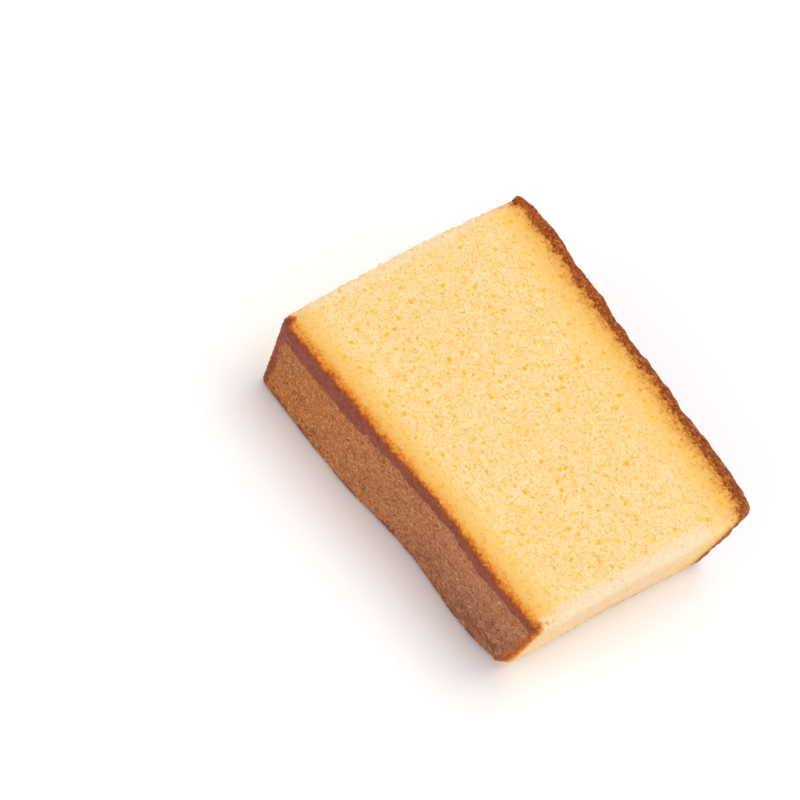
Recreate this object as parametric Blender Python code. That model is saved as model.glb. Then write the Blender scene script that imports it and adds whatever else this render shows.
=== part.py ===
"""A slice of castella sponge cake, lying on its large lower cut face.

One closed solid.  X runs along the slice, Y across it from the matte, peeled crust (-Y)
to the thin wavy crust (+Y), and Z is up.  The origin is at the middle of the base.
"""
import math

import bmesh
import bpy
from mathutils import Vector, noise

MM = 0.001

# ---- driving dimensions -------------------------------------------------------------
LENGTH = 84.4 * MM            # mean length of the upper cut face
WIDTH = 61.9 * MM             # mean width, crust to crust
MATTE_HEIGHT = 25.1 * MM      # the slice is wedge shaped: thinner at the matte crust
WAVY_HEIGHT = 30.9 * MM       # and thicker at the wavy crust
MATTE_LEAN = 2.4 * MM         # the base edge lies this far in, under the matte crust
WAVY_LEAN = 3.6 * MM          # and this far out, under the wavy crust

# The crust sides seen from above: (place along the slice, place across it), in mm.
MATTE_SIDE = ((-42.0, -32.6), (-12.0, -30.7), (12.0, -28.6), (29.0, -29.2), (42.3, -28.7))
WAVY_SIDE = ((-42.3, 33.3), (-30.0, 33.6), (-22.0, 32.4), (-15.0, 32.7), (-3.0, 31.4),
             (12.0, 31.1), (18.0, 30.6), (31.0, 30.7), (43.0, 30.3))

# The ends: place along the slice at the matte and at the wavy crust, in mm.
NEAR_TOP, NEAR_BASE = (-42.0, -42.1), (-41.3, -40.6)
FAR_TOP, FAR_BASE = (42.2, 43.8), (39.6, 41.4)
NEAR_BULGE = 0.5 * MM         # the near end swells out midway between the crusts
FAR_HOLLOW = 0.7 * MM         # and the far end's base edge draws in there

MATTE_BELLY = 1.1 * MM        # the foot of the matte crust stands out by this
BELLY_PLACE = -18.0 * MM
BELLY_REACH = 20.0 * MM

RIPPLE = 0.14 * MM            # small waves of the wavy crust, half height
RIPPLE_LENGTH = 5.2 * MM
HORN = 1.0 * MM               # the wavy crust stands out at its near upper corner
HORN_REACH = 3.2 * MM
HORN_INSET = 1.6 * MM         # its middle, in from the crust's outer side

# ---- edges and surfaces -------------------------------------------------------------
CUT_RADIUS = 0.8 * MM         # a knife leaves the cut edges this sharp
MATTE_RADIUS = 1.7 * MM       # the baked skin rounds over at the matte crust
SOFT_END_RADIUS = 1.9 * MM    # the far end's edges are pressed soft
NEAR_CORNER_RADIUS = 2.0 * MM  # the upright edges of the near end, at both crusts
WAVY_TIP_RADIUS = 2.8 * MM    # the far corner at the wavy crust
SQUASHED_RADIUS = 5.0 * MM    # the far lower corner at the matte crust

PEEL_DEPTH = 0.35 * MM        # the matte field lies this far inside its rim of whole skin
PEEL_TOP_RIM = 3.2 * MM
PEEL_LOW_RIM = 1.3 * MM
PEEL_END_RIM = 2.0 * MM
PEEL_STEP = 1.2 * MM          # width of the step from the rim down to the field

UNEVEN = 0.28 * MM            # slow swells of the cut faces
UNEVEN_LENGTH = 17.0 * MM

# ---- mesh spacing -------------------------------------------------------------------
EDGE_LINES = (0.0, 0.6 * MM, 1.5 * MM, 2.8 * MM, 4.6 * MM)
FACE_SPACING = 3.0 * MM

COLOUR = (0.83, 0.56, 0.22, 1.0)
ROUGHNESS = 0.85


def smooth(low, high, value):
    """0 up to low, 1 from high on, and a smooth step between."""
    t = min(1.0, max(0.0, (value - low) / (high - low)))
    return t * t * (3.0 - 2.0 * t)


def through(points, place):
    """A smooth line through a few points given in mm, read at a place in metres."""
    x = place / MM
    if x <= points[0][0]:
        return points[0][1] * MM
    for (x0, y0), (x1, y1) in zip(points, points[1:]):
        if x <= x1:
            return (y0 + (y1 - y0) * smooth(x0, x1, x)) * MM
    return points[-1][1] * MM


def swell(point, seed):
    """A slow, even-tempered unevenness between about -1 and 1."""
    return 1.6 * noise.noise(point / UNEVEN_LENGTH + Vector((seed, 2.3 * seed, -seed)))


def grid_lines(size):
    """Places of the grid lines along one side of the block: close together near its edges."""
    inner = size - 2.0 * EDGE_LINES[-1]
    count = max(2, round(inner / FACE_SPACING))
    middle = [EDGE_LINES[-1] + inner * i / count for i in range(1, count)]
    lines = list(EDGE_LINES) + middle + [size - place for place in reversed(EDGE_LINES)]
    return [2.0 * place / size - 1.0 for place in lines]


def block(mesh, lines):
    """A closed block of quads on -1..1 in each direction, with the given grid lines."""
    counts = [len(axis) - 1 for axis in lines]
    corners = {}

    def corner(index):
        if index not in corners:
            corners[index] = mesh.verts.new([lines[a][index[a]] for a in range(3)])
        return corners[index]

    for axis in range(3):
        second, third = (axis + 1) % 3, (axis + 2) % 3
        for side in (0, counts[axis]):
            for i in range(counts[second]):
                for j in range(counts[third]):
                    ring = []
                    for di, dj in ((0, 0), (1, 0), (1, 1), (0, 1)):
                        index = [0, 0, 0]
                        index[axis], index[second], index[third] = side, i + di, j + dj
                        ring.append(corner(tuple(index)))
                    mesh.faces.new(ring if side else ring[::-1])


def edge_radius(u, v, w):
    """Radius of the nearest edge, by the place in the block."""
    far_end, near_end = smooth(0.55, 1.0, u), smooth(0.85, 1.0, -u)
    matte, wavy, low = smooth(0.5, 1.0, -v), smooth(0.5, 1.0, v), smooth(0.2, 1.0, -w)
    radius = CUT_RADIUS
    radius += matte * (MATTE_RADIUS - CUT_RADIUS)
    radius += near_end * matte * (NEAR_CORNER_RADIUS - MATTE_RADIUS)
    radius += near_end * wavy * (NEAR_CORNER_RADIUS - CUT_RADIUS)
    radius += far_end * (1.0 - matte) * (SOFT_END_RADIUS - CUT_RADIUS)
    radius += far_end * wavy * (WAVY_TIP_RADIUS - SOFT_END_RADIUS)
    radius += far_end * matte * low * (SQUASHED_RADIUS - MATTE_RADIUS)
    return radius


def rounded(u, v, w, half):
    """Moves a point of the sharp block on to the block with rounded edges."""
    radius = edge_radius(u, v, w)
    sharp = Vector((u * half[0], v * half[1], w * half[2]))
    inner = Vector([max(radius - h, min(h - radius, c)) for c, h in zip(sharp, half)])
    out = sharp - inner
    point = inner + out.normalized() * radius
    return [c / h for c, h in zip(point, half)]


def peeled(x, z, height, ends):
    """1 on the peeled field of the matte crust, 0 on the rim of whole skin around it."""
    wander = Vector((x / (7.0 * MM), 0.0, z / (7.0 * MM)))
    shift = 1.3 * MM * noise.noise(wander)
    top = smooth(0.0, PEEL_STEP, height - z - PEEL_TOP_RIM - shift)
    low = smooth(0.0, PEEL_STEP, z - PEEL_LOW_RIM + shift)
    to_end = min(x - ends[0], ends[1] - x)
    return top * low * smooth(0.0, PEEL_STEP, to_end - PEEL_END_RIM - shift)


def end_place(top, base, across, up):
    """Where an end's face lies along the slice, at a place across and up it."""
    upper = top[0] + (top[1] - top[0]) * across
    lower = base[0] + (base[1] - base[0]) * across
    return (lower + (upper - lower) * up) * MM


def place(u, v, w):
    """From the rounded block to the slice: taper, lean, wedge, waves and unevenness."""
    up, across = (w + 1.0) / 2.0, (v + 1.0) / 2.0
    midway = math.sin(math.pi * across)
    ends = (end_place(NEAR_TOP, NEAR_BASE, across, up) - NEAR_BULGE * midway,
            end_place(FAR_TOP, FAR_BASE, across, up) - FAR_HOLLOW * midway * (1.0 - up))
    x = ends[0] + (ends[1] - ends[0]) * (u + 1.0) / 2.0
    height = MATTE_HEIGHT + (WAVY_HEIGHT - MATTE_HEIGHT) * across
    z = up * height

    belly = MATTE_BELLY * (1.0 - smooth(0.0, BELLY_REACH, abs(x - BELLY_PLACE)))
    matte_y = through(MATTE_SIDE, x) + (MATTE_LEAN - belly) * (1.0 - up)
    wavy_y = through(WAVY_SIDE, x) + WAVY_LEAN * (1.0 - up)
    wave = RIPPLE * math.sin(math.tau * x / RIPPLE_LENGTH + 1.7 * math.sin(x / (9.0 * MM)))
    wavy_y += wave
    y = matte_y + (wavy_y - matte_y) * across

    point = Vector((x, y, z))
    on_top, on_end = smooth(0.9, 1.0, w), smooth(0.97, 1.0, abs(u))
    point.z += UNEVEN * swell(point, 3.1) * on_top
    point.x += UNEVEN * swell(point, 7.7) * on_end * smooth(0.0, 0.3, up)
    to_horn = math.hypot(x - ends[0], y - wavy_y + HORN_INSET) + (height - z)
    point.x -= HORN * (1.0 - smooth(0.0, HORN_REACH, to_horn))
    field = smooth(0.93, 1.0, -v) * peeled(x, z, height, ends)
    point.y += PEEL_DEPTH * field
    return point


def flatten_base(mesh):
    """Joins the level faces under the slice into one flat face."""
    level = [f for f in mesh.faces if all(abs(v.co.z) < 1e-7 for v in f.verts)]
    bmesh.ops.dissolve_faces(mesh, faces=level, use_verts=True)


def centre(mesh):
    """Sets the origin at the middle of the base."""
    xs, ys = [v.co.x for v in mesh.verts], [v.co.y for v in mesh.verts]
    middle = Vector(((min(xs) + max(xs)) / 2.0, (min(ys) + max(ys)) / 2.0, 0.0))
    for vert in mesh.verts:
        vert.co -= middle


def sponge_material():
    material = bpy.data.materials.new("castella_sponge")
    material.use_nodes = True
    shader = material.node_tree.nodes["Principled BSDF"]
    shader.inputs["Base Color"].default_value = COLOUR
    shader.inputs["Roughness"].default_value = ROUGHNESS
    shader.inputs["Metallic"].default_value = 0.0
    return material


def castella_slice():
    size = (LENGTH, WIDTH, (MATTE_HEIGHT + WAVY_HEIGHT) / 2.0)
    half = [side / 2.0 for side in size]
    mesh = bmesh.new()
    block(mesh, [grid_lines(side) for side in size])
    for vert in mesh.verts:
        vert.co = place(*rounded(*vert.co, half))
    flatten_base(mesh)
    centre(mesh)
    bmesh.ops.recalc_face_normals(mesh, faces=mesh.faces)

    data = bpy.data.meshes.new("castella_slice")
    mesh.to_mesh(data)
    mesh.free()
    data.shade_smooth()
    data.set_sharp_from_angle(angle=math.radians(40.0))
    data.materials.append(sponge_material())
    piece = bpy.data.objects.new("castella_slice", data)
    bpy.context.scene.collection.objects.link(piece)
    return piece


for leftover in list(bpy.data.objects):
    bpy.data.objects.remove(leftover, do_unlink=True)
castella_slice()
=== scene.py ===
"""Looks of a castella slice: sponge crumb, a peeled matte crust, a thin wavy crust and crumbs."""

import itertools
import math
import random

import bmesh
import bpy
import numpy as np
from mathutils import Euler, Matrix, Vector
from mathutils.bvhtree import BVHTree


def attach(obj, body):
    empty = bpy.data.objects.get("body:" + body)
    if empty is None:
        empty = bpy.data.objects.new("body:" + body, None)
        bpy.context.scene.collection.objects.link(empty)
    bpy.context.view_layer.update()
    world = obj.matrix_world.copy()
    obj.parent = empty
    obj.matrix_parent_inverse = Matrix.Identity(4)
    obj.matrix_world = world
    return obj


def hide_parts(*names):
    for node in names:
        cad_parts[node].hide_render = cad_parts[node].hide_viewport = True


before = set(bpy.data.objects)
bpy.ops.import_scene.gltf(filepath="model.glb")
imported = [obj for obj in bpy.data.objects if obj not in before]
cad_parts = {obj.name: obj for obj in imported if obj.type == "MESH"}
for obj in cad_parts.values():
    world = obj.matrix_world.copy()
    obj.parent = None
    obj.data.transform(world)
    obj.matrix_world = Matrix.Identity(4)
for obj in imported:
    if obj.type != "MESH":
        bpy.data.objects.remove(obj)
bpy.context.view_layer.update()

MM = 0.001
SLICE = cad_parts["castella_slice"]

# ---- mesh spacing and the places of edges, in mm --------------------------------------
CRUMB_SPACING = 0.33          # a gas hole of half a millimetre still gets its own dent
SKIN_SPACING = 0.30
ROUNDING_DEPTH = 5.0          # the edges round over within this distance

# how far each skin reaches past the slice's edge: over the upper and the lower cut face,
# the near end and the far end.  Below 0 the crumb reaches down the skin's own side.
MATTE_LIPS = (-0.85, 0.6, 0.3, -0.3)
WAVY_LIPS = (1.75, 1.5, 3.2, 3.0)
MATTE_WANDER = 0.4            # how far the skins' torn borders wander to either side
WAVY_WANDER = 0.9
SKIN_STANDS = 0.14            # how far the skins stand above the crumb beside them
SKIN_DIVES = -0.7             # and how far they go down under it, past their borders
SKIN_THICKNESS = 0.9
SKIN_MARGIN = 1.6             # skin mesh kept beyond its longest lip, to dive under the crumb

# ---- node kinds, by their Blender names -----------------------------------------------
MATH, VECTOR, SPLIT = "ShaderNodeMath", "ShaderNodeVectorMath", "ShaderNodeSeparateXYZ"
RANGE, MIX, RAMP = "ShaderNodeMapRange", "ShaderNodeMix", "ShaderNodeValToRGB"
NOISE, CELLS, BUMP = "ShaderNodeTexNoise", "ShaderNodeTexVoronoi", "ShaderNodeBump"


def colour(code):
    """An sRGB hex colour as linear red, green, blue and alpha."""
    channels = [int(code[i:i + 2], 16) / 255.0 for i in (1, 3, 5)]
    linear = [c / 12.92 if c <= 0.04045 else ((c + 0.055) / 1.055) ** 2.4 for c in channels]
    return (*linear, 1.0)


def feed(tree, node, links):
    """Links or sets a node's inputs, each by its name or number."""
    for key, source in links.items():
        named = [s for s in node.inputs if s.enabled and s.name == key]
        socket = named[0] if named else node.inputs[key]
        if isinstance(source, bpy.types.Node):
            source = next(s for s in source.outputs if s.enabled)
        if isinstance(source, bpy.types.NodeSocket):
            tree.links.new(source, socket)
        else:
            socket.default_value = source


def put(tree, kind, links=None, **settings):
    """Adds a node with its settings and links."""
    node = tree.nodes.new(kind)
    for name, value in settings.items():
        setattr(node, name, value)
    feed(tree, node, links or {})
    return node


# ---- meshes over the slice --------------------------------------------------------------
def outer_corners(solid):
    """The slice's eight corners: the points farthest out along each diagonal."""
    points = np.array([vert.co for vert in solid.data.vertices])
    spread = np.ptp(points, axis=0)
    corners = np.empty((2, 2, 2, 3))
    for index in itertools.product((0, 1), repeat=3):
        reach = (points / spread) @ (np.array(index) * 2.0 - 1.0)
        corners[index] = points[reach.argmax()]
    return corners


def between(corners, shares):
    """Places among eight corners, for shares from 0 to 1 along each axis."""
    blend = corners[None]
    for share in shares.T:
        share = share.reshape((-1,) + (1,) * (blend.ndim - 2))
        blend = blend[:, 0] * (1.0 - share) + blend[:, 1] * share
    return blend


CORNERS = outer_corners(SLICE)
SIZE = np.ptp(CORNERS.reshape(-1, 3), axis=0) / MM
SURFACE = BVHTree.FromObject(SLICE, bpy.context.evaluated_depsgraph_get())


def lines(axis, spacing, start=0.0, end=1.0):
    """Evenly spaced grid lines along an axis, as shares of the slice's size."""
    count = max(1, round((end - start) * SIZE[axis] / spacing))
    return np.linspace(start, end, count + 1)


def on_the_slice(shares):
    """Block places moved on to the slice's own surface, edges rounded as they are there."""
    inset = ROUNDING_DEPTH / SIZE
    outer = between(CORNERS, shares)
    inner = between(CORNERS, np.clip(shares, inset, 1.0 - inset))
    places = outer.copy()
    for i, (start, end) in enumerate(zip(inner, outer)):
        hit = SURFACE.ray_cast(Vector(start), Vector(end - start))[0]
        if hit is not None:
            places[i] = hit
    return places


def side_quads(ids):
    """The quads of a block's six sides, facing out."""
    quads = []
    for axis in range(3):
        for end in (0, -1):
            sheet = np.moveaxis(ids, axis, 0)[end]
            ring = [sheet[:-1, :-1], sheet[1:, :-1], sheet[1:, 1:], sheet[:-1, 1:]]
            if (end == 0) != (axis == 1):
                ring.reverse()
            quads.append(np.stack(ring, -1).reshape(-1, 4))
    return np.concatenate(quads)


def sheet_over_slice(name, along, across, up, keep=None):
    """A mesh over the slice on these grid lines.  It stores, in mm, each point's place
    ("rest") and its distances to the lower ("low") and upper ("high") side on each axis.
    keep gives the shares across the slice between which the mesh is kept."""
    counts = [len(axis) for axis in (along, across, up)]
    outside = np.ones(counts, bool)
    outside[1:-1, 1:-1, 1:-1] = False
    ids = np.full(counts, -1)
    ids[outside] = np.arange(outside.sum())
    index = np.argwhere(outside)
    shares = np.stack([axis[i] for axis, i in zip((along, across, up), index.T)], -1)
    places = on_the_slice(shares)

    low, high = np.zeros_like(places), np.zeros_like(places)
    for axis in range(3):
        for store, end in ((low, 0), (high, counts[axis] - 1)):
            side = index.copy()
            side[:, axis] = end
            store[:, axis] = np.abs(places[ids[tuple(side.T)]][:, axis] - places[:, axis]) / MM

    quads = side_quads(ids)
    if keep is not None:
        inside = (shares[:, 1] >= keep[0] - 1e-9) & (shares[:, 1] <= keep[1] + 1e-9)
        quads = quads[inside[quads].all(1)]
        used = np.unique(quads)
        renumber = np.zeros(len(places), int)
        renumber[used] = np.arange(len(used))
        quads, places, low, high = renumber[quads], places[used], low[used], high[used]

    mesh = bpy.data.meshes.new(name)
    mesh.from_pydata(places, [], quads)
    for label, values in (("rest", places / MM), ("low", low), ("high", high)):
        store = mesh.attributes.new(label, "FLOAT_VECTOR", "POINT")
        store.data.foreach_set("vector", values.astype(np.float32).ravel())
    mesh.shade_smooth()
    piece = bpy.data.objects.new(name, mesh)
    bpy.context.scene.collection.objects.link(piece)
    return piece


def finish_shape(piece):
    """Makes a piece's modifiers its real mesh."""
    shaped = piece.evaluated_get(bpy.context.evaluated_depsgraph_get())
    mesh = bpy.data.meshes.new_from_object(shaped, preserve_all_data_layers=True,
                                           depsgraph=bpy.context.evaluated_depsgraph_get())
    piece.modifiers.clear()
    piece.data = mesh
    piece.data.name = piece.name
    piece.data.shade_smooth()


def relief(piece, height):
    """Moves a piece's points along their normals by what height(tree) gives, in mm.
    Nothing goes below the table."""
    tree = bpy.data.node_groups.new(piece.name + "_relief", "GeometryNodeTree")
    tree.interface.new_socket("Mesh", in_out="INPUT", socket_type="NodeSocketGeometry")
    tree.interface.new_socket("Mesh", in_out="OUTPUT", socket_type="NodeSocketGeometry")
    start = put(tree, "NodeGroupInput")
    metres = put(tree, MATH, {0: height(tree), 1: MM}, operation="MULTIPLY")
    step = put(tree, VECTOR, {0: put(tree, "GeometryNodeInputNormal"), "Scale": metres},
               operation="SCALE")
    moved = put(tree, VECTOR, {0: put(tree, "GeometryNodeInputPosition"), 1: step}, operation="ADD")
    above = put(tree, VECTOR, {0: moved, 1: (-1.0, -1.0, 0.0)}, operation="MAXIMUM")
    set_place = put(tree, "GeometryNodeSetPosition", {"Geometry": start, "Position": above})
    put(tree, "NodeGroupOutput", {"Mesh": set_place})
    piece.modifiers.new("relief", "NODES").node_group = tree


# ---- patterns shared by relief and colour ------------------------------------------------
def measures(tree):
    """The stored place, and the distances to the slice's six sides, in mm."""
    found = {}
    for label in ("rest", "low", "high"):
        if tree.type == "GEOMETRY":
            node = put(tree, "GeometryNodeInputNamedAttribute", {"Name": label},
                       data_type="FLOAT_VECTOR")
        else:
            node = put(tree, "ShaderNodeAttribute", attribute_name=label)
        found[label] = next(s for s in node.outputs if s.enabled and s.type == "VECTOR")
    low = put(tree, SPLIT, {"Vector": found["low"]}).outputs
    high = put(tree, SPLIT, {"Vector": found["high"]}).outputs
    found["near"], found["matte"], found["base"] = low["X"], low["Y"], low["Z"]
    found["far"], found["wavy"], found["top"] = high["X"], high["Y"], high["Z"]
    return found


def specks(tree, place, size, start, full, seed=0.0, roughness=0.6):
    """Uneven specks about this size in mm: 0 where the pattern is below start, 1 above full.
    The pattern's middle is 0.5, and few places lie beyond 0.3 and 0.7."""
    moved = put(tree, VECTOR, {0: place, 1: (seed, 1.7 * seed, -0.6 * seed)}, operation="ADD")
    grain = put(tree, NOISE, {"Vector": moved, "Scale": 1.0 / size, "Detail": 3.0,
                              "Roughness": roughness, "Distortion": 0.3})
    return put(tree, RANGE, {"Value": grain, "From Min": start, "From Max": full})


def swing(tree, place, size, reach, seed=0.0, roughness=0.6):
    """An uneven wander between about -reach and reach, with waves about this size in mm."""
    moved = put(tree, VECTOR, {0: place, 1: (seed, 1.7 * seed, -0.6 * seed)}, operation="ADD")
    grain = put(tree, NOISE, {"Vector": moved, "Scale": 1.0 / size, "Detail": 3.0,
                              "Roughness": roughness})
    return put(tree, RANGE, {"Value": grain, "From Min": 0.25, "From Max": 0.75,
                             "To Min": -reach, "To Max": reach}, clamp=False)


HOLE_RIM = 0.16               # a gas hole deepens over this width
HOLE_BEND_SIZE = 0.8          # and its outline is bent by waves of this size
HOLE_BEND = (1.5, 1.5, 1.5)


def holes(tree, place, spacing, widest, share, seed):
    """Gas holes: 1 inside a hole, falling to 0 at its rim.  Only a share of the cells has
    one, up to the widest size.  Sizes in mm."""
    bend = put(tree, NOISE, {"Vector": place, "Scale": 1.0 / HOLE_BEND_SIZE, "Detail": 2.0})
    bent = put(tree, VECTOR, {0: bend.outputs["Color"], 1: HOLE_BEND, 2: place},
               operation="MULTIPLY_ADD")
    moved = put(tree, VECTOR, {0: bent, 1: (seed, 1.7 * seed, -0.6 * seed)}, operation="ADD")
    cells = put(tree, CELLS, {"Vector": moved, "Scale": 1.0 / spacing})
    chance = put(tree, SPLIT, {"Vector": cells.outputs["Color"]})
    radius = put(tree, RANGE, {"Value": chance, "From Min": 1.0 - share, "From Max": 1.0,
                               "To Min": 0.0, "To Max": 0.5 * widest / spacing})
    inside = put(tree, MATH, {0: radius, 1: cells.outputs["Distance"]}, operation="SUBTRACT")
    return put(tree, MATH, {0: inside, 1: HOLE_RIM / spacing}, operation="DIVIDE", use_clamp=True)


def past_skin(tree, found, side, lips, wander):
    """How far past a skin's ragged border a point lies, in mm, measured over the slice's edge:
    below 0 on the skin, above 0 on the crumb.  lips are the skin's reaches over that edge, on
    the upper and the lower cut face, the near end and the far end."""
    to_edge = found["top"]
    for other in ("base", "near", "far"):
        to_edge = put(tree, MATH, {0: to_edge, 1: found[other]}, operation="MINIMUM")
    past_edge = put(tree, MATH, {0: found[side], 1: to_edge}, operation="SUBTRACT")
    lip = lips[0]
    for other, reach in zip(("base", "near", "far"), lips[1:]):
        on_side = put(tree, RANGE, {"Value": found[other], "From Min": 1.4, "From Max": 0.2})
        lip = put(tree, MIX, {"Factor": on_side, "A": lip, "B": reach})
    ragged = swing(tree, found["rest"], 2.0, wander, roughness=0.65)
    border = put(tree, MATH, {0: lip, 1: ragged}, operation="ADD")
    return put(tree, MATH, {0: past_edge, 1: border}, operation="SUBTRACT")


def past_matte(tree, found):
    return past_skin(tree, found, "matte", MATTE_LIPS, MATTE_WANDER)


def past_wavy(tree, found):
    return past_skin(tree, found, "wavy", WAVY_LIPS, WAVY_WANDER)


# ---- the crumb ----------------------------------------------------------------------------
BIG_HOLES = dict(spacing=1.9, widest=1.3, share=0.8, seed=3.0)
SMALL_HOLES = dict(spacing=1.2, widest=0.95, share=0.85, seed=11.0)
TEARS = dict(size=1.0, start=0.55, full=0.67, seed=7.0)
BIG_HOLE_DEPTH, SMALL_HOLE_DEPTH, TEAR_DEPTH = 0.2, 0.12, 0.1
CRUMB_GRAIN = 0.17            # the crumb's even unevenness, to either side
TORN_EDGE = 0.45              # and how ragged a knife leaves it along the cut edges
KEPT_SHARE = 0.53             # of the crumb's triangles; the hidden ones are thinned out


def crumb_height(tree):
    """The crumb's surface: grain, torn cut edges, gas holes, and level under the slice."""
    found = measures(tree)
    rest = found["rest"]
    total = swing(tree, rest, 0.9, CRUMB_GRAIN)
    to_end = put(tree, MATH, {0: found["near"], 1: found["far"]}, operation="MINIMUM")
    to_flat = put(tree, MATH, {0: found["top"], 1: found["base"]}, operation="MINIMUM")
    to_edge = put(tree, MATH, {0: to_end, 1: to_flat}, operation="MAXIMUM")
    torn = put(tree, RANGE, {"Value": to_edge, "From Min": 0.3, "From Max": 2.0,
                             "To Min": 1.0, "To Max": 0.0})
    ragged = swing(tree, rest, 1.1, TORN_EDGE, seed=5.0, roughness=0.75)
    total = put(tree, MATH, {0: ragged, 1: torn, 2: total}, operation="MULTIPLY_ADD")
    for dent, depth in ((holes(tree, rest, **BIG_HOLES), BIG_HOLE_DEPTH),
                        (holes(tree, rest, **SMALL_HOLES), SMALL_HOLE_DEPTH),
                        (specks(tree, rest, **TEARS), TEAR_DEPTH)):
        total = put(tree, MATH, {0: dent, 1: -depth, 2: total}, operation="MULTIPLY_ADD")
    off_table = put(tree, RANGE, {"Value": found["base"], "From Min": 0.05, "From Max": 0.5})
    total = put(tree, MATH, {0: total, 1: off_table}, operation="MULTIPLY")
    # the crumb sinks under both skins, a little at their borders and then deeper
    for border in (past_matte(tree, found), past_wavy(tree, found)):
        under = put(tree, RANGE, {"Value": border, "From Min": -0.7, "From Max": -0.25,
                                  "To Min": -0.5, "To Max": 0.0})
        deep = put(tree, RANGE, {"Value": border, "From Min": -4.0, "From Max": -1.5,
                                 "To Min": -0.4, "To Max": 0.0})
        for sunk in (under, deep):
            total = put(tree, MATH, {0: total, 1: sunk}, operation="ADD")
    return total


def make_crumb():
    """The sponge crumb.  Its mesh is fine on its upper cut face and ends, and coarse under the
    skins and under the slice, where it can't be seen."""
    piece = sheet_over_slice("sponge_crumb", lines(0, CRUMB_SPACING), lines(1, CRUMB_SPACING),
                             lines(2, CRUMB_SPACING))
    mesh = piece.data
    count = len(mesh.vertices)
    low, high = np.empty(count * 3, np.float32), np.empty(count * 3, np.float32)
    mesh.attributes["low"].data.foreach_get("vector", low)
    mesh.attributes["high"].data.foreach_get("vector", high)
    low, high = low.reshape(-1, 3), high.reshape(-1, 3)
    to_edge = np.concatenate([low[:, ::2], high[:, ::2]], 1).min(1)
    hidden = (low[:, 1] - to_edge < -2.4) | (high[:, 1] - to_edge < 0.2) | (low[:, 2] < 0.1)
    group = piece.vertex_groups.new(name="hidden")
    group.add(np.flatnonzero(hidden).tolist(), 1.0, "REPLACE")
    thin = piece.modifiers.new("thin", "DECIMATE")
    thin.ratio = KEPT_SHARE
    thin.vertex_group = "hidden"
    relief(piece, crumb_height)
    finish_shape(piece)
    return piece


# ---- the skins ----------------------------------------------------------------------------
def skin_height(tree, found, border, surface):
    """A skin that stands proud and dives under the crumb past its ragged border."""
    rise = put(tree, RANGE, {"Value": border, "From Min": -0.4, "From Max": 0.5,
                             "To Min": SKIN_STANDS, "To Max": SKIN_DIVES},
               interpolation_type="SMOOTHSTEP")
    total = put(tree, MATH, {0: rise, 1: surface}, operation="ADD")
    off_table = put(tree, RANGE, {"Value": found["base"], "From Min": 0.0, "From Max": 0.6})
    return put(tree, MATH, {0: total, 1: off_table}, operation="MULTIPLY")


PEEL_DEPTH = 0.14             # the peeled field lies this far inside its rim
TOP_RIM, BASE_RIM, NEAR_RIM, FAR_RIM = 4.0, 0.9, 1.9, 1.5
RIM_STEP = 0.4                # the rim's edge slopes over this width to either side


def peeled_field(tree, found):
    """1 where the outer skin was peeled off the matte crust, 0 on its rim of whole skin."""
    shift = swing(tree, found["rest"], 5.0, 1.7, seed=2.0, roughness=0.75)
    # the rim is widest below the upper edge, toward the near end
    wide = put(tree, RANGE, {"Value": found["near"], "From Min": 24.0, "From Max": 34.0,
                             "To Min": -2.0, "To Max": 0.0})
    below_top = put(tree, MATH, {0: found["top"], 1: wide}, operation="ADD")
    field = None
    for distance, rim in ((below_top, TOP_RIM), (found["base"], BASE_RIM),
                          (found["near"], NEAR_RIM), (found["far"], FAR_RIM)):
        inside = put(tree, MATH, {0: distance, 1: shift}, operation="ADD")
        part = put(tree, RANGE, {"Value": inside, "From Min": rim - RIM_STEP,
                                 "From Max": rim + RIM_STEP})
        field = part if field is None else put(tree, MATH, {0: field, 1: part},
                                               operation="MULTIPLY")
    return field


def lengthwise(tree, place):
    """The place with the slice's length drawn together, for marks drawn out along it."""
    return put(tree, VECTOR, {0: place, 1: (0.8, 1.0, 1.0)}, operation="MULTIPLY")


def matte_height(tree):
    """The matte crust's surface: dry grain drawn out lengthwise, and its peeled field."""
    found = measures(tree)
    field = peeled_field(tree, found)
    total = swing(tree, lengthwise(tree, found["rest"]), 0.7, 0.16, roughness=0.7)
    total = put(tree, MATH, {0: field, 1: -PEEL_DEPTH, 2: total}, operation="MULTIPLY_ADD")
    return skin_height(tree, found, past_matte(tree, found), total)


def wavy_height(tree):
    """The wavy crust's surface: low wrinkles and a fine grain."""
    found = measures(tree)
    wrinkles = swing(tree, found["rest"], 2.6, 0.22, roughness=0.4)
    total = put(tree, MATH, {0: wrinkles, 1: swing(tree, found["rest"], 0.7, 0.08)},
                operation="ADD")
    return skin_height(tree, found, past_wavy(tree, found), total)


def make_skin(name, across, keep, height):
    """One crust skin, thick enough to close down into the crumb."""
    piece = sheet_over_slice(name, lines(0, SKIN_SPACING), across, lines(2, SKIN_SPACING), keep)
    relief(piece, height)
    thick = piece.modifiers.new("thick", "SOLIDIFY")
    thick.thickness = SKIN_THICKNESS * MM
    thick.offset = -1.0
    finish_shape(piece)
    return piece


def make_matte_skin():
    reach = (max(MATTE_LIPS) + SKIN_MARGIN) / SIZE[1]
    across = np.append(lines(1, SKIN_SPACING, 0.0, reach), 1.0)
    return make_skin("matte_crust", across, (0.0, reach), matte_height)


def make_wavy_skin():
    reach = 1.0 - (max(WAVY_LIPS) + SKIN_MARGIN) / SIZE[1]
    across = np.insert(lines(1, SKIN_SPACING, reach, 1.0), 0, 0.0)
    return make_skin("wavy_crust", across, (reach, 1.0), wavy_height)


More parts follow.
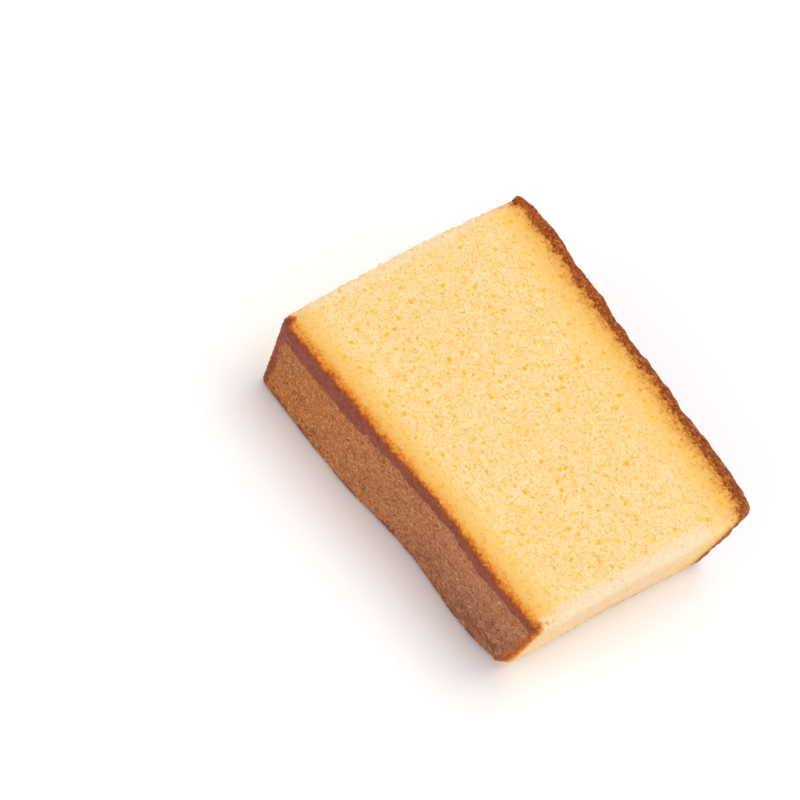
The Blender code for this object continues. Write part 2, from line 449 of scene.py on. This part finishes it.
# ---- crumbs ---------------------------------------------------------------------------------
# bits, as (how many, their sizes in mm, limits along, across and up the slice)
EDGE_BITS = ((300, (0.3, 0.8), (0.0, 0.003), (0.03, 0.97), (0.005, 0.08)),
             (300, (0.3, 0.8), (0.997, 1.0), (0.03, 0.97), (0.005, 0.08)))
LOOSE_BITS = ((14, (0.25, 0.55), (0.02, 0.98), (0.03, 0.93), (1.0, 1.0)),
              (10, (0.3, 0.6), (1.0, 1.0), (0.05, 0.93), (0.1, 0.9)))
BIT_LIFT = 0.1                # a bit's middle stands off its surface by this share of its size


def spots_on(surface, rng, count, sizes, along, across, up):
    """Random places on a surface, as shares of the slice between two limits on each axis:
    each a place, the way out, a size and the surface's face there."""
    shares = np.array([[rng.uniform(*limits) for limits in (along, across, up)]
                       for _ in range(count)])
    inset = ROUNDING_DEPTH / SIZE
    starts = between(CORNERS, np.clip(shares, inset, 1.0 - inset))
    for start, end in zip(starts, between(CORNERS, shares)):
        place, _, face = surface.ray_cast(Vector(start), Vector(end - start))[:3]
        if place is not None and place.z > 0.2 * MM:
            yield place, Vector(end - start).normalized(), rng.uniform(*sizes) * MM, face


def scatter(name, spots, source, seed):
    """Small broken bits of the source joined in one mesh, one at each spot.  Each stores the
    source's own measures there."""
    rng = random.Random(seed)
    ball = bmesh.new()
    bmesh.ops.create_icosphere(ball, subdivisions=2, radius=0.5)
    corners = np.array([vert.co for vert in ball.verts])
    faces = np.array([[vert.index for vert in face.verts] for face in ball.faces])
    ball.free()
    places, sides, sources = [], [], []
    for place, outward, size, face in spots:
        turn = Euler([rng.uniform(0.0, math.tau) for _ in range(3)]).to_matrix()
        stretch = [rng.uniform(0.6, 1.0) for _ in range(3)]
        knobs = np.array([rng.uniform(0.7, 1.15) for _ in corners])
        shape = (corners * knobs[:, None] * stretch) @ np.array(turn) * size
        sides.append(faces + len(places) * len(corners))
        places.append(shape + np.array(place) + np.array(outward) * size * BIT_LIFT)
        sources += [source.data.polygons[face].vertices[0]] * len(corners)
    places = np.concatenate(places)
    places[:, 2] = places[:, 2].clip(0.0)
    mesh = bpy.data.meshes.new(name)
    mesh.from_pydata(places, [], np.concatenate(sides))
    for label in ("rest", "low", "high"):
        values = np.empty(len(source.data.vertices) * 3, np.float32)
        source.data.attributes[label].data.foreach_get("vector", values)
        store = mesh.attributes.new(label, "FLOAT_VECTOR", "POINT")
        store.data.foreach_set("vector", values.reshape(-1, 3)[sources].ravel())
    mesh.shade_smooth()
    piece = bpy.data.objects.new(name, mesh)
    bpy.context.scene.collection.objects.link(piece)
    return piece


def make_crumb_bits(crumb):
    """Torn crumb standing along the ends' lower edges, and a few loose crumbs on the faces."""
    surface = BVHTree.FromObject(crumb, bpy.context.evaluated_depsgraph_get())
    rng = random.Random(5)
    spots = []
    for bits in EDGE_BITS + LOOSE_BITS:
        spots += spots_on(surface, rng, *bits)
    return scatter("crumb_bits", spots, crumb, seed=6)


# ---- materials ------------------------------------------------------------------------------
DRY_SHINE = 0.2               # dry, porous cake shines less than a closed surface


def new_material(name, roughness, ior):
    """A material with a Principled shader; returns it, its node tree and the shader."""
    material = bpy.data.materials.new(name)
    material.use_nodes = True
    tree = material.node_tree
    shader = tree.nodes["Principled BSDF"]
    feed(tree, shader, {"Roughness": roughness, "IOR": ior})
    return material, tree, shader


def painted(tree, base, layers):
    """A base colour under layers.  Each is a tone and one or more shares, which multiply."""
    for tone, share, *others in layers:
        for other in others:
            share = put(tree, MATH, {0: share, 1: other}, operation="MULTIPLY")
        tone = colour(tone) if isinstance(tone, str) else tone
        base = put(tree, MIX, {"Factor": share, "A": base, "B": tone}, data_type="RGBA")
    return base


# distances in mm past each skin's border, and the tones there: whole skin, caramel, then crumb
MATTE_BROWNING = ((-0.9, "#884332"), (-0.3, "#8C442C"), (0.1, "#A25226"), (0.35, "#BB6626"),
                  (0.6, "#CC7E2E"), (0.95, "#D9933C"), (1.4, "#E0A54F"), (2.1, "#E4B161"),
                  (3.5, "#E8BA6F"), (5.6, "#EABF76"), (8.0, "#ECC580"))
WAVY_BROWNING = ((-1.9, "#9C5226"), (-1.3, "#8A4016"), (-0.8, "#803810"), (-0.3, "#944A16"),
                 (0.1, "#B06A24"), (0.5, "#C68234"), (1.0, "#D69645"), (1.9, "#DFA655"),
                 (2.8, "#E4B262"), (4.2, "#E8BA6C"), (6.0, "#EABF74"), (12.0, "#ECC580"))
GRIT_SIZE = 0.65              # the tones are broken up by grit of this size
# each side's distance past its border, its tones, and how far the grit shifts them
BROWNING = {"matte": (past_matte, MATTE_BROWNING, 0.65), "wavy": (past_wavy, WAVY_BROWNING, 1.3)}
FADE_START = 3.5              # past this distance the crumb's own colour comes through


def browned(tree, found, side):
    """The baked tones beside a crust, broken up as its crumb is, how strong they are, and the
    distance past the crust's border."""
    past_border, stops, shift = BROWNING[side]
    past = past_border(tree, found)
    grit = swing(tree, found["rest"], GRIT_SIZE, shift, seed=1.0, roughness=0.7)
    distance = put(tree, MATH, {0: past, 1: grit}, operation="ADD")
    start, end = stops[0][0], stops[-1][0]
    place = put(tree, RANGE, {"Value": distance, "From Min": start, "From Max": end})
    tones = put(tree, RAMP, {"Fac": place})
    marks = tones.color_ramp.elements
    while len(marks) < len(stops):
        marks.new(0.5)
    for mark, (at, code) in zip(marks, stops):
        mark.position = (at - start) / (end - start)
        mark.color = colour(code)
    share = put(tree, RANGE, {"Value": distance, "From Min": end, "From Max": FADE_START})
    return tones, share, past


def castella_crumb():
    """Castella crumb: cut egg-rich sponge with a fine even cell.  Dry and matte, pale yellow,
    and orange-yellow down in the gas holes, where light has passed through more cake."""
    material, tree, shader = new_material("castella_crumb", roughness=0.9, ior=1.4)
    found = measures(tree)
    rest = found["rest"]

    # up to 1 on the ends, where the knife pressed the crumb pale and closed, and partly a painted
    # highlight along the upper cut face's rounded far edge
    pressed_pale_and_edge_highlight = put(tree, RANGE, {"Value": found["far"], "From Min": 2.2, "From Max": 0.2},
                  interpolation_type="SMOOTHSTEP")
    soft_middle = put(tree, RANGE, {"Value": found["wavy"], "From Min": 2.0, "From Max": 16.0,
                                    "To Min": 0.1})
    pressed_pale_and_edge_highlight = put(tree, MATH, {0: pressed_pale_and_edge_highlight, 1: soft_middle}, operation="MULTIPLY")
    at_near = put(tree, RANGE, {"Value": found["near"], "From Min": 1.4, "From Max": 0.1,
                                "To Max": 0.6})
    pressed_pale_and_edge_highlight = put(tree, MATH, {0: pressed_pale_and_edge_highlight, 1: at_near}, operation="MAXIMUM")
    open_crumb = put(tree, MATH, {0: pressed_pale_and_edge_highlight, 1: -0.8, 2: 1.0}, operation="MULTIPLY_ADD")
    down = put(tree, RANGE, {"Value": found["top"], "From Min": 0.8, "From Max": 7.0})
    end_tone = painted(tree, colour("#EAD4B6"), [
        ("#E8CCAA", down),
        ("#DDB484", specks(tree, rest, 0.8, 0.5, 0.66, seed=43.0, roughness=0.7), down),
    ])

    body = painted(tree, colour("#EDCC96"), [
        ("#EDC88A", specks(tree, rest, 15.0, 0.4, 0.65, seed=4.0)),
        ("#F0D5AB", specks(tree, rest, 0.8, 0.48, 0.64, seed=6.0)),
        ("#EDC26E", specks(tree, rest, 1.9, 0.5, 0.7, seed=9.0), 0.6),
        # pale pressed crumb, which along the rounded far edge is also a painted highlight
        (end_tone, pressed_pale_and_edge_highlight, 0.85),
    ])
    down_the_end = put(tree, MATH, {0: down, 1: 0.7}, operation="MULTIPLY")
    flecked = put(tree, MATH, {0: open_crumb, 1: down_the_end}, operation="MAXIMUM")
    # beside each crust: its baked tones, pressed ends included, and darker flecks in them
    for side, dark in (("matte", "#D9922E"), ("wavy", "#C07826")):
        tones, share, past = browned(tree, found, side)
        close = put(tree, RANGE, {"Value": past, "From Min": 6.0, "From Max": 0.8})
        beyond = put(tree, RANGE, {"Value": past, "From Min": 0.4, "From Max": 1.0})
        baked = put(tree, RANGE, {"Value": past, "From Min": 2.2, "From Max": 0.6})
        baked = put(tree, MATH, {0: baked, 1: open_crumb}, operation="MAXIMUM")
        body = painted(tree, body, [
            (tones, share, baked),
            (dark, specks(tree, rest, 0.9, 0.57, 0.64, seed=13.0), close, beyond),
        ])
        clear = put(tree, RANGE, {"Value": past, "From Min": 1.6, "From Max": 4.0})
        flecked = put(tree, MATH, {0: flecked, 1: clear}, operation="MULTIPLY")
    body = painted(tree, body, [
        ("#EDBC5A", specks(tree, rest, **TEARS), flecked),
        ("#EEB944", specks(tree, rest, 0.55, 0.55, 0.64, seed=19.0), flecked),
        ("#DC9A30", specks(tree, rest, 0.6, 0.63, 0.69, seed=41.0), flecked),
        ("#EEB93C", holes(tree, rest, **SMALL_HOLES), flecked, 0.9),
        ("#ECB22C", holes(tree, rest, **BIG_HOLES), flecked),
    ])

    fine = put(tree, NOISE, {"Vector": rest, "Scale": 1.0 / 0.35, "Detail": 2.0})
    bump = put(tree, BUMP, {"Strength": 0.5, "Distance": 0.12 * MM, "Height": fine})
    feed(tree, shader, {"Base Color": body, "Normal": bump, "Specular IOR Level": DRY_SHINE,
                        "Subsurface Weight": 0.3, "Subsurface Radius": (1.0, 0.5, 0.25),
                        "Subsurface Scale": 0.8 * MM})
    return material


def loose_crumb():
    """Bits of castella crumb: dry and matte, pale gold, some of them baked darker."""
    material, tree, shader = new_material("loose_crumb", roughness=0.9, ior=1.4)
    rest = measures(tree)["rest"]
    body = painted(tree, colour("#EDC98E"), [
        ("#E6B464", specks(tree, rest, 1.5, 0.45, 0.6)),
        ("#F1DCB8", specks(tree, rest, 1.0, 0.5, 0.65, seed=3.0)),
    ])
    feed(tree, shader, {"Base Color": body, "Specular IOR Level": DRY_SHINE})
    return material


PEELED_ROUGHNESS, RIM_ROUGHNESS = 0.88, 0.5


def peeled_crust():
    """Bottom crust with its outer skin peeled away: milk-brown, dry and granular, in a rim
    of whole dark skin with a dull shine."""
    material, tree, shader = new_material("peeled_crust", PEELED_ROUGHNESS, ior=1.4)
    found = measures(tree)
    rest = found["rest"]
    drawn = lengthwise(tree, rest)
    along = put(tree, RANGE, {"Value": found["near"], "From Min": 5.0, "From Max": 60.0})
    far_along = put(tree, RANGE, {"Value": found["near"], "From Min": 40.0, "From Max": 80.0})
    low_down = put(tree, RANGE, {"Value": found["top"], "From Min": 8.0, "From Max": 20.0})
    grain = dict(place=drawn, size=0.55, roughness=0.75)
    field = painted(tree, colour("#B46A34"), [
        ("#AE7351", along),
        ("#A0653F", specks(tree, drawn, 4.5, 0.48, 0.66, seed=8.0)),
        ("#7C543F", low_down, far_along, 0.5),
        ("#C07C48", specks(tree, rest, 1.4, 0.56, 0.68, seed=35.0), low_down),
        ("#5C2E1A", specks(tree, start=0.5, full=0.63, seed=21.0, **grain), 0.85),
        ("#CB9468", specks(tree, start=0.53, full=0.66, seed=25.0, **grain)),
        ("#704632", specks(tree, drawn, 1.6, 0.42, 0.6, seed=28.0), low_down, far_along),
        ("#4A2416", holes(tree, rest, spacing=3.4, widest=0.8, share=0.35, seed=23.0)),
    ])
    # the rim's whole skin: reddish dark brown, turning caramel where it meets the crumb
    tones, _, past = browned(tree, found, "matte")
    whole = put(tree, RANGE, {"Value": past, "From Min": 0.2, "From Max": -0.6})
    at_far = put(tree, RANGE, {"Value": found["far"], "From Min": 4.0, "From Max": 1.0})
    low_corner = put(tree, RANGE, {"Value": found["top"], "From Min": 3.5, "From Max": 6.0})
    rim = painted(tree, tones, [
        ("#B06230", at_far, low_corner),
        ("#6A3024", specks(tree, rest, 0.8, 0.47, 0.65, seed=31.0, roughness=0.7), whole),
        ("#A4552F", specks(tree, rest, 0.7, 0.56, 0.68, seed=33.0, roughness=0.7), whole),
    ])
    peeled = peeled_field(tree, found)
    body = painted(tree, rim, [(field, peeled)])

    gloss = put(tree, RANGE, {"Value": peeled, "To Min": RIM_ROUGHNESS,
                              "To Max": PEELED_ROUGHNESS})
    rough = put(tree, NOISE, {"Vector": drawn, "Scale": 1.0 / 0.5, "Detail": 3.0,
                              "Roughness": 0.7})
    bump = put(tree, BUMP, {"Strength": 0.7, "Distance": 0.2 * MM, "Height": rough})
    feed(tree, shader, {"Base Color": body, "Roughness": gloss, "Normal": bump,
                        "Specular IOR Level": DRY_SHINE})
    return material


def baked_skin():
    """Top crust of castella: a thin baked sugar skin, smooth and a little shiny, chestnut
    brown, granular and darker where its cut edge meets the crumb."""
    material, tree, shader = new_material("baked_skin", roughness=0.42, ior=1.45)
    found = measures(tree)
    rest = found["rest"]
    tones, _, past = browned(tree, found, "wavy")
    on_lip = put(tree, RANGE, {"Value": past, "From Min": -5.0, "From Max": -2.4})
    toward_near = put(tree, RANGE, {"Value": found["near"], "From Min": 46.0, "From Max": 18.0})
    body = painted(tree, colour("#864422"), [
        ("#96522C", specks(tree, rest, 5.0, 0.4, 0.66, seed=14.0)),
        ("#74381C", specks(tree, rest, 1.1, 0.5, 0.72, seed=15.0), 0.5),
        (tones, on_lip),
        ("#9C4600", toward_near, on_lip, 0.6),
        ("#5E260E", specks(tree, rest, 0.7, 0.5, 0.61, seed=16.0, roughness=0.7), on_lip, 0.85),
        ("#C67430", specks(tree, rest, 0.7, 0.54, 0.63, seed=17.0, roughness=0.7), on_lip, 0.9),
    ])
    fine = put(tree, NOISE, {"Vector": rest, "Scale": 1.0 / 0.6, "Detail": 3.0})
    bump = put(tree, BUMP, {"Strength": 0.5, "Distance": 0.15 * MM, "Height": fine})
    feed(tree, shader, {"Base Color": body, "Normal": bump, "Specular IOR Level": 0.15})
    return material


# ---- stage ----------------------------------------------------------------------------------
TABLE_REACH = 2.0             # metres, past the edges of every view
TABLE_GAP = 0.05 * MM         # keeps the slice's base and the table from sharing one plane


def white_table():
    """A plain white table top of matte painted board: soft and even, with no clear gloss."""
    reach = TABLE_REACH
    mesh = bpy.data.meshes.new("table_top")
    mesh.from_pydata([(-reach, -reach, 0), (reach, -reach, 0),
                      (reach, reach, 0), (-reach, reach, 0)], [], [(0, 1, 2, 3)])
    table = bpy.data.objects.new("table_top", mesh)
    table.location.z = -TABLE_GAP
    bpy.context.scene.collection.objects.link(table)
    material, tree, shader = new_material("white_board", roughness=0.8, ior=1.45)
    feed(tree, shader, {"Base Color": colour("#F7F5F5")})
    mesh.materials.append(material)


# the camera, looking down on the slice's upper cut face and matte crust
CAMERA_PLACE = Vector((136.19, -334.73, 481.77)) * MM
CAMERA_AIM = Vector((-0.22, -54.12, 69.53)) * MM
CAMERA_ROLL = math.radians(31.79)
CAMERA_LENS = 126.0


def long_lens_camera():
    """Sets up the camera and returns how it is turned."""
    data = bpy.data.cameras.new("camera")
    data.lens = CAMERA_LENS
    camera = bpy.data.objects.new("camera", data)
    look = (CAMERA_AIM - CAMERA_PLACE).to_track_quat("-Z", "Y")
    turn = look.to_matrix() @ Matrix.Rotation(CAMERA_ROLL, 3, "Z")
    camera.matrix_world = Matrix.Translation(CAMERA_PLACE) @ turn.to_4x4()
    bpy.context.scene.collection.objects.link(camera)
    bpy.context.scene.camera = camera
    return turn


def softbox(name, place, width, power):
    """A square lamp of this width in metres and power in watts, facing the slice."""
    data = bpy.data.lights.new(name, "AREA")
    data.shape = "SQUARE"
    data.size = width
    data.energy = power
    lamp = bpy.data.objects.new(name, data)
    lamp.location = place
    lamp.rotation_mode = "QUATERNION"
    lamp.rotation_quaternion = (-place).to_track_quat("-Z", "Y")
    bpy.context.scene.collection.objects.link(lamp)


# softboxes: their place to the camera's right, up and back of the slice, scaled to a distance
# in metres, then their width in metres and their power in watts
SOFTBOXES = (("key_softbox", (0.55, 0.6, 0.75), 0.8, 0.6, 3.3),
             ("left_softbox", (-0.7, -0.1, 0.8), 0.9, 0.8, 2.8),
             ("low_softbox", (0.75, -0.65, 0.35), 0.8, 0.6, 2.0))
ROOM_LIGHT = 0.72


def studio():
    """The camera, three softboxes set to its sides, and a white room."""
    turn = long_lens_camera()
    for name, toward, distance, width, power in SOFTBOXES:
        softbox(name, (turn @ Vector(toward)) * distance, width, power)
    world = bpy.data.worlds.new("white_room")
    world.use_nodes = True
    feed(world.node_tree, world.node_tree.nodes["Background"],
         {"Color": colour("#FFFFFF"), "Strength": ROOM_LIGHT})
    bpy.context.scene.world = world
    bpy.context.scene.view_settings.view_transform = "Standard"


crumb, matte_skin, wavy_skin = make_crumb(), make_matte_skin(), make_wavy_skin()
for piece, material in ((crumb, castella_crumb()), (matte_skin, peeled_crust()),
                        (wavy_skin, baked_skin()), (make_crumb_bits(crumb), loose_crumb())):
    piece.data.materials.clear()
    piece.data.materials.append(material)
    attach(piece, "root")
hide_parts("castella_slice")
white_table()
studio()
